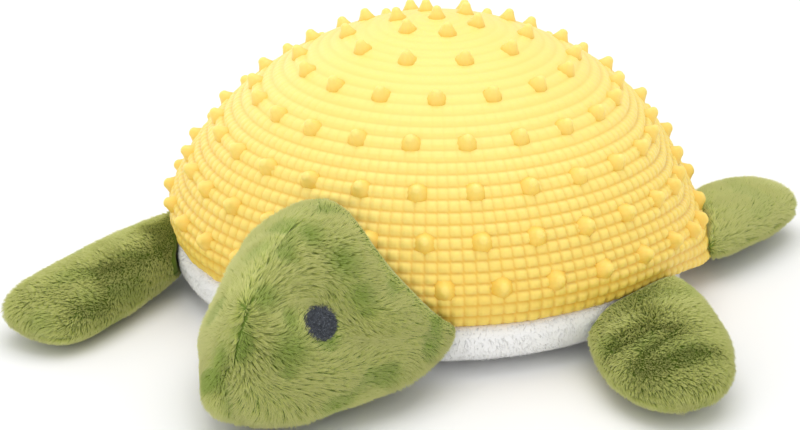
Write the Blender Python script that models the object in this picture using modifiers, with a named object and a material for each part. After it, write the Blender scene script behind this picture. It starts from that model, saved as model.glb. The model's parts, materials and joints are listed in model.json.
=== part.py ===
"""A plush turtle: a moulded rubber dome sewn to a stuffed plush belly, head and four flippers.

The turtle lies on its belly and looks along -Y. The origin is the centre of the flat underside.
The head and each flipper hang on a parent empty that stands on the line of its seam.
"""

import math

import bmesh
import bpy
from mathutils import Matrix, Vector

# Clearances and allowances, in metres as every length here
SEAT_GAP = 0.0003
STUFFING_GAP = 0.0005
MERGE_DISTANCE = 0.00001
OVERRUN = 0.1

# How far out and up the shoulders of a soft form's rings lie, where they are plainly round
ROUND_SHOULDER_SHARES = (0.72, 0.80)

# Rubber dome
SHELL_RADIUS = 0.075
SHELL_HEIGHT = 0.0583
SHELL_WALL = 0.0026
DOME_POWER = 1.727
DOME_SIDE_ANGLE = math.radians(80)
RIM_TUCK = 0.0034
RIM_HEIGHT = 0.014
FLANGE_WIDTH = 0.0052
FLANGE_THICKNESS = 0.0015
TURNED_STEPS = 40
DOME_ROWS = 9
INNER_DOME_ROWS = 5

# Pebbles are moulded in rows, and each row is a rib round the dome here
PEBBLE_HEIGHT = 0.0007
PEBBLE_ROWS = 29
PLAIN_CROWN_ROWS = 3
PEBBLE_ROWS_PER_NUB_RING = 4

# Nubs moulded on the dome, in rings from the crown to the rim
NUB_RADIUS = 0.0022
NUB_TIP_RADIUS = 0.0009
NUB_HEIGHT = 0.003
NUB_SINK = 0.0011
NUB_CLEARANCE = 0.0003
NUB_SIDES = 5
NUB_RING_STEP = math.radians(11)
NUB_RING_COUNTS = (1, 4, 10, 16, 22, 26, 30, 32)
NUB_RING_TURNS = (0, 20, 4.5, 0.5, 15.5, 4.5, 8.5, 2)

# Stuffed belly
BELLY_BULGE = 0.0014
BELLY_POWER = 4.0
BELLY_FLAT_DEPTH = 0.0005
BELLY_TUCK = 0.003
BELLY_ROWS = 7
FABRIC = 0.002

# Seam thread that runs round on top of the flange
THREAD_RADIUS = 0.0004
THREAD_SEGMENTS = 32
THREAD_BEVEL_STEPS = 1

# Squeaker in its pocket
SQUEAKER_RADIUS = 0.019
SQUEAKER_HEIGHT = 0.017
SQUEAKER_WALL = 0.001
SQUEAKER_MOUTH_RADIUS = 0.0055
SQUEAKER_POWER = 2.6
SQUEAKER_STEPS = 24
SQUEAKER_ROWS = 5
PLUG_LENGTH = 0.007
PLUG_BORE_RADIUS = 0.0015

# Head
NECK_INSET = 0.0016
HEAD_LENGTH = 0.052
HEAD_HALF_WIDTH = 0.0365
HEAD_HEIGHT = 0.0525
HEAD_WIDEST_SHARE = 0.26
HEAD_CHIN_SHARE = 0.09
NECK_RELIEF = math.radians(28)
# along the head, half width, top, bottom
HEAD_SECTION_SHARES = (
    (-0.30, 0.94, 0.96, 0.06),
    (0.02, 1.00, 1.00, 0.00),
    (0.34, 0.88, 0.98, -0.02),
    (0.62, 0.67, 0.88, -0.02),
    (0.84, 0.42, 0.67, 0.03),
    (1.00, 0.18, 0.42, 0.14),
)
HEAD_SHOULDER_SHARES = (0.56, 0.42)

# Embroidered eyes
EYE_RADIUS = 0.0044
EYE_THICKNESS = 0.0012
EYE_POCKET = 0.0008
EYE_SIDES = 14
EYE_FORWARD_SHARE = 0.6
EYE_HEIGHT_SHARE = 0.515

# Flippers
FLIPPER_THICKNESS = 0.0145
FLIPPER_ROOT_DROP = 0.0052
FLIPPER_SLOPE = math.radians(2.2)
FLIPPER_RELIEF = math.radians(36)
# along the flipper, width, thickness
FLIPPER_SECTION_SHARES = (
    (-0.26, 0.76, 0.76),
    (0.04, 0.88, 0.84),
    (0.34, 1.02, 1.00),
    (0.66, 1.08, 1.02),
    (0.88, 0.90, 0.84),
    (1.00, 0.46, 0.46),
)
FLIPPER_WIDEST_SHARE = 0.5
# name: place on the rim, heading, length, width, roll, all angles in degrees from straight ahead
FLIPPERS = {
    "front_left_flipper": (70, 27, 0.053, 0.038, 0),
    "front_right_flipper": (-64, -12, 0.065, 0.029, -6),
    "rear_left_flipper": (111, 163, 0.046, 0.033, 0),
    "rear_right_flipper": (-111, -163, 0.046, 0.033, 0),
}

# Colours as linear red, green, blue, with roughness
YELLOW_RUBBER = ((0.93, 0.62, 0.09), 0.45)
WHITE_PLUSH = ((0.86, 0.86, 0.85), 0.95)
GREEN_PLUSH = ((0.16, 0.24, 0.05), 0.95)
DARK_THREAD = ((0.02, 0.022, 0.028), 0.8)
WHITE_FILL = ((0.8, 0.8, 0.78), 1.0)
CLEAR_PLASTIC = ((0.75, 0.77, 0.78), 0.35)

FULL_TURN = 2 * math.pi
HALF_TURN = math.pi
RIM_RADIUS = SHELL_RADIUS - RIM_TUCK
FLANGE_RADIUS = RIM_RADIUS - FLANGE_WIDTH
BELLY_RADIUS = RIM_RADIUS + BELLY_BULGE
NECK_DISTANCE = RIM_RADIUS - NECK_INSET
SEAM_HEIGHT = RIM_HEIGHT - SEAT_GAP


def clear_scene():
    for old in list(bpy.data.objects):
        bpy.data.objects.remove(old, do_unlink=True)


def new_collection(name):
    collection = bpy.data.collections.new(name)
    bpy.context.scene.collection.children.link(collection)
    return collection


clear_scene()
PARTS = new_collection("plush_turtle")
CUTTERS = new_collection("cutters")


def give_material(obj, finish):
    colour, roughness = finish
    material = bpy.data.materials.new(obj.name + "_finish")
    material.use_nodes = True
    shader = material.node_tree.nodes["Principled BSDF"]
    shader.inputs["Base Color"].default_value = (*colour, 1)
    shader.inputs["Roughness"].default_value = roughness
    shader.inputs["Metallic"].default_value = 0
    obj.data.materials.append(material)


def new_object(name, mesh, finish=None, parent=None):
    """An object of the toy where a finish is given, or else a cutter."""
    obj = bpy.data.objects.new(name, mesh)
    if finish:
        PARTS.objects.link(obj)
        give_material(obj, finish)
    else:
        CUTTERS.objects.link(obj)
        obj.hide_render = True
        obj.display_type = "WIRE"
    obj.parent = parent
    return obj


def mesh_of(bm, name):
    mesh = bpy.data.meshes.new(name)
    bm.to_mesh(mesh)
    bm.free()
    return mesh


def add_boolean(obj, other, operation="DIFFERENCE", solver="MANIFOLD"):
    """The exact solver loses some of the soft pieces, so only the nubs' union uses it."""
    modifier = obj.modifiers.new(operation.lower() + "_" + other.name, "BOOLEAN")
    modifier.object = other
    modifier.operation = operation
    modifier.solver = solver


def turned(name, profile, steps, finish=None):
    """A solid of revolution about Z. The profile runs from the axis to the axis, down the outer side."""
    bm = bmesh.new()
    points = [bm.verts.new((radius, 0, height)) for radius, height in profile]
    for first, second in zip(points, points[1:]):
        bm.edges.new((first, second))
    obj = new_object(name, mesh_of(bm, name), finish)
    screw = obj.modifiers.new("turn", "SCREW")
    screw.steps = steps
    screw.render_steps = steps
    screw.use_merge_vertices = True
    screw.merge_threshold = MERGE_DISTANCE
    screw.use_smooth_shade = True
    return obj


def offset_profile(profile, distance):
    """The profile moved outwards by the distance, square to itself, with its ends kept on the axis."""
    moved = []
    for index, (radius, height) in enumerate(profile):
        before = Vector(profile[max(index - 1, 0)])
        after = Vector(profile[min(index + 1, len(profile) - 1)])
        if radius == 0:
            side = Vector((0, 1 if index == 0 else -1))
        else:
            run = (after - before).normalized()
            side = Vector((-run.y, run.x))
        moved.append((radius + distance * side.x, height + distance * side.y))
    return moved


def dome_point(angle):
    """Radius and height on the outside of the dome, by the angle from its crown."""
    power = 2 / DOME_POWER
    radius = SHELL_RADIUS * math.sin(angle) ** power
    return radius, RIM_HEIGHT + SHELL_HEIGHT * math.cos(angle) ** power


def dome_profile(rows):
    """The outside of the dome from its crown to its rim, where it tucks in."""
    crown = (0, dome_point(0)[1])
    profile = [crown] + [dome_point(DOME_SIDE_ANGLE * row / rows) for row in range(1, rows + 1)]
    side_radius, side_height = profile[-1]
    middle_radius = side_radius - (side_radius - RIM_RADIUS) / 4
    return profile + [(middle_radius, (side_height + RIM_HEIGHT) / 2), (RIM_RADIUS, RIM_HEIGHT)]


def ribbed_profile():
    """The outside of the dome with a rib along each row of pebbles and a groove between two rows."""
    row_angle = NUB_RING_STEP / PEBBLE_ROWS_PER_NUB_RING
    half_rows = range(2 * PLAIN_CROWN_ROWS + 1, 2 * PEBBLE_ROWS + 1)
    smooth = [dome_point(row_angle * half_row / 2) for half_row in half_rows]
    raised = offset_profile(smooth, PEBBLE_HEIGHT)
    ribs = [high if half_row % 2 == 0 else low for half_row, low, high in zip(half_rows, smooth, raised)]
    crown = dome_profile(DOME_ROWS)[:1] + [dome_point(row_angle * PLAIN_CROWN_ROWS)]
    return crown + ribs + dome_profile(DOME_ROWS)[-2:]


def belly_profile(rows):
    """The outside of the belly from the rim seam to the centre of its flat underside."""
    depth = RIM_HEIGHT - BELLY_TUCK + BELLY_FLAT_DEPTH
    flat_angle = math.asin(((depth - BELLY_FLAT_DEPTH) / depth) ** (BELLY_POWER / 2))
    profile = [(RIM_RADIUS, SEAM_HEIGHT)]
    for row in range(rows + 1):
        angle = flat_angle * row / rows
        radius = BELLY_RADIUS * math.cos(angle) ** (2 / BELLY_POWER)
        height = RIM_HEIGHT - BELLY_TUCK - depth * math.sin(angle) ** (2 / BELLY_POWER)
        profile.append((radius, 0 if row == rows else height))
    return profile + [(0, 0)]


def nub_mesh():
    """One round-tipped nub that stands on Z, with its foot sunk below zero."""
    bm = bmesh.new()
    length = NUB_HEIGHT + NUB_SINK
    bmesh.ops.create_cone(
        bm, cap_ends=True, segments=NUB_SIDES, radius1=NUB_RADIUS, radius2=NUB_TIP_RADIUS, depth=length
    )
    bmesh.ops.translate(bm, verts=bm.verts, vec=(0, 0, length / 2 - NUB_SINK))
    return bm


def nub_places():
    """A matrix for each nub, with Z square to the dome."""
    for ring, (count, turn) in enumerate(zip(NUB_RING_COUNTS, NUB_RING_TURNS)):
        angle = NUB_RING_STEP * ring
        radius, height = dome_point(angle)
        # the slope of the dome there, from a point on each side
        near = Vector(dome_point(max(angle - NUB_RING_STEP / 2, 0)))
        far = Vector(dome_point(angle + NUB_RING_STEP / 2))
        run = far - near
        tilt = 0 if ring == 0 else math.atan2(-run.y, run.x)
        if ring == 0:
            radius = 0
        for index in range(count):
            around = math.radians(turn) + FULL_TURN * index / count
            spin = Matrix.Rotation(around - HALF_TURN / 2, 4, "Z")
            yield spin @ Matrix.Translation((radius, 0, height)) @ Matrix.Rotation(tilt, 4, "Y")


def make_shell():
    """The rubber dome: one wall with its nubs, turned in at the rim to a flange for sewing."""
    outer = ribbed_profile()
    inner = offset_profile(dome_profile(INNER_DOME_ROWS), -SHELL_WALL)
    flange_top = RIM_HEIGHT + FLANGE_THICKNESS
    inner = [point for point in inner if point[1] > flange_top]
    flange = [(FLANGE_RADIUS, RIM_HEIGHT), (FLANGE_RADIUS, flange_top), (inner[-1][0], flange_top)]
    shell = turned("rubber_shell", outer + flange + inner[::-1], TURNED_STEPS, YELLOW_RUBBER)
    nubs = bmesh.new()
    for place in nub_places():
        nub = nub_mesh()
        bmesh.ops.transform(nub, matrix=place, verts=nub.verts)
        one = mesh_of(nub, "nub")
        nubs.from_mesh(one)
        bpy.data.meshes.remove(one)
    add_boolean(shell, new_object("shell_nubs", mesh_of(nubs, "shell_nubs")), "UNION", "EXACT")


def make_belly():
    """The white plush bowl under the rim, with its seam allowance turned in under the flange."""
    outer = belly_profile(BELLY_ROWS)
    allowance_bottom = SEAM_HEIGHT - FABRIC
    inner = [point for point in offset_profile(outer, -FABRIC) if point[1] < allowance_bottom]
    allowance = [
        (inner[0][0], allowance_bottom),
        (FLANGE_RADIUS, allowance_bottom),
        (FLANGE_RADIUS, SEAM_HEIGHT),
    ]
    turned("belly_panel", inner[::-1] + allowance + outer, TURNED_STEPS, WHITE_PLUSH)


def make_body_stuffing():
    """The fibre fill of the body, with a pocket in its underside for the squeaker."""
    upper = offset_profile(dome_profile(INNER_DOME_ROWS), -SHELL_WALL - STUFFING_GAP)
    thread_top = RIM_HEIGHT + FLANGE_THICKNESS + SEAT_GAP + 2 * THREAD_RADIUS + STUFFING_GAP
    waist_bottom = SEAM_HEIGHT - FABRIC - STUFFING_GAP
    lower = offset_profile(belly_profile(BELLY_ROWS), -FABRIC - STUFFING_GAP)
    upper = [point for point in upper if point[1] > thread_top]
    lower = [point for point in lower if point[1] < waist_bottom][:-1]
    waist_radius = FLANGE_RADIUS - STUFFING_GAP
    pocket_radius = SQUEAKER_RADIUS + STUFFING_GAP
    pocket_top = FABRIC + SEAT_GAP + SQUEAKER_HEIGHT + STUFFING_GAP
    waist = [
        (upper[-1][0], thread_top),
        (waist_radius, thread_top),
        (waist_radius, waist_bottom),
        (lower[0][0], waist_bottom),
    ]
    pocket = [(pocket_radius, lower[-1][1]), (pocket_radius, pocket_top), (0, pocket_top)]
    turned("body_stuffing", upper + waist + lower + pocket, SQUEAKER_STEPS, WHITE_FILL)


def make_seam_thread():
    """The line of stitching that holds the flange to the belly, on top of the flange."""
    curve = bpy.data.curves.new("rim_seam_thread", "CURVE")
    curve.dimensions = "3D"
    spline = curve.splines.new("POLY")
    spline.points.add(THREAD_SEGMENTS - 1)
    radius = (FLANGE_RADIUS + RIM_RADIUS - SHELL_WALL) / 2
    height = RIM_HEIGHT + FLANGE_THICKNESS + SEAT_GAP + THREAD_RADIUS
    for index, point in enumerate(spline.points):
        around = FULL_TURN * index / THREAD_SEGMENTS
        point.co = (radius * math.cos(around), radius * math.sin(around), height, 1)
    spline.use_cyclic_u = True
    curve.bevel_depth = THREAD_RADIUS
    curve.bevel_resolution = THREAD_BEVEL_STEPS
    new_object("rim_seam_thread", curve, WHITE_PLUSH)


def squeaker_profile(inset):
    """The outside of the squeaker bulb, or its inside by an inset, from the crown to the mouth."""
    radius = SQUEAKER_RADIUS - inset
    half = SQUEAKER_HEIGHT / 2 - inset
    middle = FABRIC + SEAT_GAP + SQUEAKER_HEIGHT / 2
    mouth = SQUEAKER_MOUTH_RADIUS
    end_angle = HALF_TURN - math.asin((mouth / radius) ** (SQUEAKER_POWER / 2))
    power = 2 / SQUEAKER_POWER
    profile = [(0, middle + half)]
    for row in range(1, 2 * SQUEAKER_ROWS + 1):
        angle = end_angle * row / (2 * SQUEAKER_ROWS)
        height = math.copysign(abs(math.cos(angle)) ** power, math.cos(angle))
        profile.append((radius * math.sin(angle) ** power, middle + half * height))
    return profile


def make_squeaker():
    """A hollow bulb with its mouth at the bottom, and the plug with a bore that holds the reed."""
    outside = squeaker_profile(0)
    inside = squeaker_profile(SQUEAKER_WALL)
    turned("squeaker_bulb", outside + inside[::-1], SQUEAKER_STEPS, CLEAR_PLASTIC)
    foot = outside[-1][1]
    bottom = foot - SEAT_GAP
    shank = SQUEAKER_MOUTH_RADIUS - SEAT_GAP
    top = foot + PLUG_LENGTH
    profile = [
        (PLUG_BORE_RADIUS, top),
        (shank, top),
        (shank, bottom),
        (PLUG_BORE_RADIUS, bottom),
        (PLUG_BORE_RADIUS, top),
    ]
    turned("squeaker_plug", profile, SQUEAKER_STEPS, CLEAR_PLASTIC)


def rim_point(angle):
    """A point on the seam line, by the angle from straight ahead."""
    return Vector((RIM_RADIUS * math.sin(angle), -RIM_RADIUS * math.cos(angle), RIM_HEIGHT))


def joint_empty(name, place, heading):
    """The parent of a moving piece: it stands on the joint's axis, with +Y along the piece."""
    empty = bpy.data.objects.new(name + "_joint", None)
    PARTS.objects.link(empty)
    empty.location = place
    empty.rotation_euler.z = heading + HALF_TURN
    return empty


def soft_cage(sections, upper_shoulder_shares, widest_share):
    """A coarse closed cage of rings. Each section gives its place along, half width, top and bottom."""
    upper_width_share, upper_height_share = upper_shoulder_shares
    lower_width_share, lower_height_share = ROUND_SHOULDER_SHARES
    bm = bmesh.new()
    rings = []
    for along, half_width, top, bottom in sections:
        middle = bottom + (top - bottom) * widest_share
        upper = middle + (top - middle) * upper_height_share
        lower = middle + (bottom - middle) * lower_height_share
        side = half_width * upper_width_share
        low_side = half_width * lower_width_share
        outline = [(0, top), (side, upper), (half_width, middle), (low_side, lower)]
        outline += [(0, bottom), (-low_side, lower), (-half_width, middle), (-side, upper)]
        rings.append([bm.verts.new((x, along, z)) for x, z in outline])
    for first, second in zip(rings, rings[1:]):
        for index in range(len(first)):
            after = (index + 1) % len(first)
            bm.faces.new((first[index], second[index], second[after], first[after]))
    bm.faces.new(rings[-1])
    bm.faces.new(rings[0][::-1])
    bmesh.ops.recalc_face_normals(bm, faces=bm.faces)
    return bm


def neck_room(name, growth):
    """A cutter the size of the grown body and its nubs, flared below the rim so that the head can nod."""
    dome = offset_profile(dome_profile(DOME_ROWS), growth + NUB_HEIGHT + NUB_CLEARANCE)[:-1]
    side = BELLY_RADIUS + growth
    flare = (RIM_HEIGHT + OVERRUN) * math.tan(NECK_RELIEF)
    skirt = [(side, RIM_HEIGHT), (side + flare, -OVERRUN), (0, -OVERRUN)]
    return turned(name, dome + skirt, TURNED_STEPS)


def swung_about_rim(point, angle):
    """A point of a turned outline, swung about the rim, outwards and up where the angle is positive."""
    rim = Vector((RIM_RADIUS, RIM_HEIGHT))
    return tuple(rim + Matrix.Rotation(angle, 2) @ (Vector(point) - rim))


def flipper_room(name):
    """A cutter that lets a flipper's root reach in to the seam, with the room to lift it."""
    dome = offset_profile(dome_profile(DOME_ROWS), SEAT_GAP + NUB_HEIGHT + NUB_CLEARANCE)[:-2]
    tuck, rim = offset_profile(dome_profile(DOME_ROWS), SEAT_GAP)[-2:]
    lip = swung_about_rim(tuck, -FLIPPER_RELIEF)
    belly = offset_profile(belly_profile(BELLY_ROWS), SEAT_GAP)[1:3]
    skirt = [swung_about_rim(point, FLIPPER_RELIEF) for point in belly]
    foot = [(skirt[-1][0], -OVERRUN), (0, -OVERRUN)]
    return turned(name, dome + [lip, rim] + skirt + foot, TURNED_STEPS)


def block(name, sides, parent, middle=(0, 0, 0)):
    """A box cutter on one side of a seam through the middle: each of sides is -1, 0 for both sides, or 1."""
    bm = bmesh.new()
    bmesh.ops.create_cube(bm, size=2 * OVERRUN)
    shift = Vector(sides) * (OVERRUN + SEAT_GAP / 2) + Vector(middle)
    bmesh.ops.translate(bm, vec=shift, verts=bm.verts)
    return new_object(name, mesh_of(bm, name), parent=parent)


def soften(obj, shrink):
    """Rounds the cage off, and draws it in all round by the shrink."""
    subdivide = obj.modifiers.new("round_off", "SUBSURF")
    subdivide.levels = 1
    subdivide.render_levels = 1
    if shrink:
        draw_in = obj.modifiers.new("draw_in", "DISPLACE")
        draw_in.direction = "NORMAL"
        draw_in.mid_level = 0
        draw_in.strength = -shrink


def make_flipper(name, rim_angle, heading, length, width, roll):
    """Two plush panels sewn round a fill, open at the root, where the body's seam holds them."""
    place = rim_point(rim_angle)
    joint = joint_empty(name, place, heading)
    half_thick = FLIPPER_THICKNESS / 2
    sections = []
    for along_share, width_share, thick_share in FLIPPER_SECTION_SHARES:
        half = half_thick * thick_share
        sections.append((length * along_share, width / 2 * width_share, half, -half))
    drop = Matrix.Translation((0, 0, -FLIPPER_ROOT_DROP)) @ Matrix.Rotation(-FLIPPER_SLOPE, 4, "X")
    drop = drop @ Matrix.Rotation(roll, 4, "Y")

    def form(piece, finish, shrink):
        bm = soft_cage(sections, ROUND_SHOULDER_SHARES, FLIPPER_WIDEST_SHARE)
        bmesh.ops.transform(bm, matrix=drop, verts=bm.verts)
        obj = new_object(piece, mesh_of(bm, piece), finish, joint)
        soften(obj, shrink)
        return obj

    hollow = form(f"{name}_hollow", None, FABRIC)
    room = flipper_room(f"{name}_room")
    for side, direction in (("upper", 1), ("lower", -1)):
        panel = form(f"{name}_{side}_panel", GREEN_PLUSH, 0)
        add_boolean(panel, room)
        half = block(f"{name}_{side}_half", (0, 0, direction), joint)
        half.data.transform(drop)
        add_boolean(panel, half, "INTERSECT")
        add_boolean(panel, hollow)
    fill = form(f"{name}_stuffing", WHITE_FILL, FABRIC + STUFFING_GAP)
    add_boolean(fill, room)


def head_sections():
    floor = SEAT_GAP * 2 - RIM_HEIGHT
    sections = []
    for along_share, width_share, top_share, bottom_share in HEAD_SECTION_SHARES:
        top = floor + HEAD_HEIGHT * top_share
        bottom = floor + HEAD_HEIGHT * bottom_share
        sections.append((HEAD_LENGTH * along_share, HEAD_HALF_WIDTH * width_share, top, bottom))
    return sections


def make_head():
    """Two plush cheeks that meet at the ridge, a chin panel under them, and the fill inside."""
    joint = joint_empty("head", Vector((0, -NECK_DISTANCE, RIM_HEIGHT)), 0)

    def form(name, finish, shrink):
        bm = soft_cage(head_sections(), HEAD_SHOULDER_SHARES, HEAD_WIDEST_SHARE)
        obj = new_object(name, mesh_of(bm, name), finish, joint)
        soften(obj, shrink)
        return obj

    def cut_by_body(obj, growth):
        add_boolean(obj, neck_room(f"{obj.name}_room", growth))

    hollow = form("head_hollow", None, FABRIC)
    cut_by_body(hollow, SEAT_GAP + FABRIC)
    chin_seam = (0, 0, HEAD_HEIGHT * HEAD_CHIN_SHARE - RIM_HEIGHT)
    # the head's own X points to the turtle's right
    parts = {"left_cheek": (-1, 0, 1), "right_cheek": (1, 0, 1), "chin": (0, 0, -1)}
    panels = {}
    for part, sides in parts.items():
        panel = form(f"head_{part}_panel", GREEN_PLUSH, 0)
        cut_by_body(panel, SEAT_GAP)
        add_boolean(panel, block(f"{part}_block", sides, joint, chin_seam), "INTERSECT")
        add_boolean(panel, hollow)
        panels[part] = panel
    fill = form("head_stuffing", WHITE_FILL, FABRIC + STUFFING_GAP)
    cut_by_body(fill, SEAT_GAP + FABRIC + STUFFING_GAP)
    whole = form("head_form", None, 0)
    make_eyes(whole, {"left": panels["left_cheek"], "right": panels["right_cheek"]}, joint)


def make_eyes(form, cheeks, joint):
    """A raised round of stitching in a shallow pocket on each cheek."""
    bpy.context.view_layer.update()
    rounded = form.evaluated_get(bpy.context.evaluated_depsgraph_get())
    height = HEAD_HEIGHT * EYE_HEIGHT_SHARE - RIM_HEIGHT
    for side, sign in (("left", -1), ("right", 1)):
        start = Vector((sign * OVERRUN, HEAD_LENGTH * EYE_FORWARD_SHARE, height))
        found, spot, normal, _ = rounded.ray_cast(start, Vector((-sign, 0, 0)))
        if not found:
            raise RuntimeError("the eye misses the cheek")
        at = Matrix.Translation(spot) @ normal.to_track_quat("Z", "Y").to_matrix().to_4x4()
        wide = EYE_RADIUS + SEAT_GAP
        pocket = eye_round(f"{side}_eye_pocket", wide, -EYE_POCKET, EYE_RADIUS, at, None, joint)
        add_boolean(cheeks[side], pocket)
        low = SEAT_GAP - EYE_POCKET
        eye_round(f"{side}_eye", EYE_RADIUS, low, low + EYE_THICKNESS, at, DARK_THREAD, joint)


def eye_round(name, radius, low, high, at, finish, parent):
    bm = bmesh.new()
    bmesh.ops.create_cone(
        bm, cap_ends=True, segments=EYE_SIDES, radius1=radius, radius2=radius, depth=high - low
    )
    bmesh.ops.translate(bm, vec=(0, 0, (high + low) / 2), verts=bm.verts)
    bmesh.ops.transform(bm, matrix=at, verts=bm.verts)
    return new_object(name, mesh_of(bm, name), finish, parent)


def main():
    make_shell()
    make_belly()
    make_body_stuffing()
    make_seam_thread()
    make_squeaker()
    make_head()
    for name, (rim_angle, heading, length, width, roll) in FLIPPERS.items():
        make_flipper(name, math.radians(rim_angle), math.radians(heading), length, width, math.radians(roll))


main()
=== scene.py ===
"""The looks of the plush turtle: moulded rubber dome, white belly, and green plush head and flippers.

It is laid out as a Blender add-on and run as a script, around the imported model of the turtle.
"""

import json
import math

import bmesh
import bpy
import numpy as np
from bpy.props import FloatProperty, FloatVectorProperty, IntProperty, PointerProperty
from mathutils import Matrix, Vector, kdtree


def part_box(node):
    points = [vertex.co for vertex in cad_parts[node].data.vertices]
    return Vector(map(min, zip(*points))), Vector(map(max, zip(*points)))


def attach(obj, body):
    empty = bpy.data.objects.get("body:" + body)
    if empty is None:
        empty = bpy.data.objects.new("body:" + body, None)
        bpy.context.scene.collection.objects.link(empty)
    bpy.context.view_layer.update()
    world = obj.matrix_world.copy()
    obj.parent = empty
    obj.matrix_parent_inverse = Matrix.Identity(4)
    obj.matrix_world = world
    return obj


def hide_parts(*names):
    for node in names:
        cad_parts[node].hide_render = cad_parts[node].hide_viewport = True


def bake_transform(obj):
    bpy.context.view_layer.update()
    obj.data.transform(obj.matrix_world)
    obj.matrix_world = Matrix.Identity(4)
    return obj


bl_info = {
    "name": "Plush Turtle",
    "version": (1, 0, 0),
    "blender": (4, 5, 0),
    "location": "View3D > Sidebar > Turtle",
    "description": "Models a plush turtle with a rubber dome",
    "category": "Add Mesh",
}

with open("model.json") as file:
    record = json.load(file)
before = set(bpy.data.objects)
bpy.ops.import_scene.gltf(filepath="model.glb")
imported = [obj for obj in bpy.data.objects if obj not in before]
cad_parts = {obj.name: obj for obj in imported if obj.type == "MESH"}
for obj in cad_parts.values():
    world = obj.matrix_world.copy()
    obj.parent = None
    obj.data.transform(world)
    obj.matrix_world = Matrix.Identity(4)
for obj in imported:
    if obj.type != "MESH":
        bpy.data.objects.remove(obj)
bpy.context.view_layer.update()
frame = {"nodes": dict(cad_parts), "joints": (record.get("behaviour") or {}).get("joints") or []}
JOINTS = {joint["name"]: joint for joint in frame["joints"]}

FULL_TURN = 2 * math.pi
MERGE = 0.000001

# Dome, with the same outline as the rubber_shell node
RIM_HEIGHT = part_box("rubber_shell")[0].z
RIM_RADIUS = 0.0716
DOME_RADIUS = 0.075
DOME_HEIGHT = 0.0583
DOME_POWER = 1.727
DOME_SIDE_ANGLE = math.radians(80)
FLANGE_RADIUS = 0.0664
FLANGE_THICKNESS = 0.0015
ROWS_PER_NUB_RING = 4
PEBBLE_ROWS = 31.5
SAMPLES_PER_ROW = 4
DOME_COLUMNS = 700
# first row, and pebbles in each row from there; each count divides DOME_COLUMNS
PEBBLE_BANDS = ((0, 20), (3, 28), (5, 50), (8, 70), (12, 100), (18, 140))
# the pebbles stand higher from row to row, and the grooves between them get deeper
PEBBLE_LEAST = 0.16
PEBBLE_GROWTH_ROWS = (2, 24)
PEBBLE_POWERS = (2.6, 3.2)
GROOVE_LEAST = 0.1
GROOVE_GROWTH = 0.7
GROOVE_GROWTH_ROWS = (8, 27)
NUB_RING_STEP = math.radians(11)
NUB_RING_COUNTS = (1, 6, 10, 16, 22, 26, 30, 32)
NUB_RING_TURNS = (0, 38, 4.5, 0.5, 15.5, 4.5, 8.5, 2)
NUB_WIDER_EACH_RING = 0.03
# a nub's foot flares and is sunk into the dome, and its side has two more rings
NUB_FLARE = 1.3
NUB_SUNK = 0.0006
NUB_SIDE_HEIGHTS = (0.0005, 0.0013)

# At its left rear the soft rim sinks and bellies out, and hides the seam
SAG_ANGLE = math.radians(108)
SAG_SPREAD = math.radians(20)
# it sets in between these radii, and ends at this height
SAG_RADII = (0.03, 0.06)
SAG_TOP = 0.062
SAG_OUT = 0.0045
SAG_DOWN = 0.0075
# above the rim the bulge turns into a dent, the sooner the more this is
SAG_DENT = 5
# how far the belly is tucked in under it, and how the body's fill gives way
SAG_TUCK = 0.010
FILL_DENT = 0.003
FILL_TUCK_HEIGHT = 0.012

# Belly, with the same outline as the belly_panel node
BELLY_RADIUS = 0.073
BELLY_POWER = 4.0
BELLY_TUCK = 0.003
BELLY_FLAT_DEPTH = 0.0005

# Head and flippers, with cages like those of their nodes
SEAT_GAP = 0.0003
NUB_ROOM = 0.0033
NUB_ROOM_HEIGHTS = (0.019, 0.023)
ROOM_BOTTOM = -0.02
FILL_GAP = 0.0006
ROUND_SHOULDERS = (0.72, 0.80)
HEAD_LENGTH = 0.052
HEAD_HALF_WIDTH = 0.0368
HEAD_HEIGHT = 0.0525
HEAD_WIDEST_SHARE = 0.26
HEAD_CHIN_SHARE = 0.09
HEAD_SHOULDERS = (0.57, 0.44)
HEAD_SECTION_SHARES = (
    (-0.30, 0.94, 0.96, 0.06),
    (0.02, 1.00, 1.00, 0.00),
    (0.34, 0.88, 0.98, -0.02),
    (0.62, 0.67, 0.88, -0.02),
    (0.84, 0.42, 0.67, 0.03),
    (1.00, 0.18, 0.42, 0.14),
)
NECK_RELIEF = math.radians(28)
# how far the head's top leans to its right, as a share of the height
HEAD_LEAN = 0.06
LEFT_CHEEK_OUT = 0.0036
RIGHT_CHEEK_IN = 0.0020
RIGHT_TOP_OUT = 0.0020
FLIPPER_ROOT_DROP = 0.0047
FLIPPER_WIDEST_SHARE = 0.5
FLIPPER_SECTION_SHARES = (
    (-0.26, 0.76, 0.76),
    (0.04, 0.88, 0.84),
    (0.34, 1.02, 1.00),
    (0.66, 1.08, 1.02),
    (0.88, 0.90, 0.84),
    (1.00, 0.46, 0.46),
)
# name: heading in degrees from straight ahead, length, width, thickness, roll and slope in degrees,
# and the root's width and height and the tip's width as shares
FLIPPERS = {
    "front_left_flipper": (31, 0.052, 0.035, 0.0162, 6, 2.2, 1.18, 1.22, 0.85),
    "front_right_flipper": (-9, 0.065, 0.0290, 0.0185, -10, 2.2, 0.95, 1.05, 1.35),
    "rear_left_flipper": (165, 0.046, 0.032, 0.016, 0, 0.5, 1.12, 1.1, 1.0),
    "rear_right_flipper": (-165, 0.046, 0.032, 0.016, 0, 0.5, 1.12, 1.1, 1.0),
}

# Eyes: how far each one's stitching lies from the middle of its node
EYE_SHIFTS = {"left_eye": (0.0006, 0.0014, 0.0008), "right_eye": (-0.0040, 0.0095, 0.0)}
EYE_MOUND_SUNK = 0.0004
# the head's pile is left out this near to the middle of an eye
EYE_CLEARING = 0.0040

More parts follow.
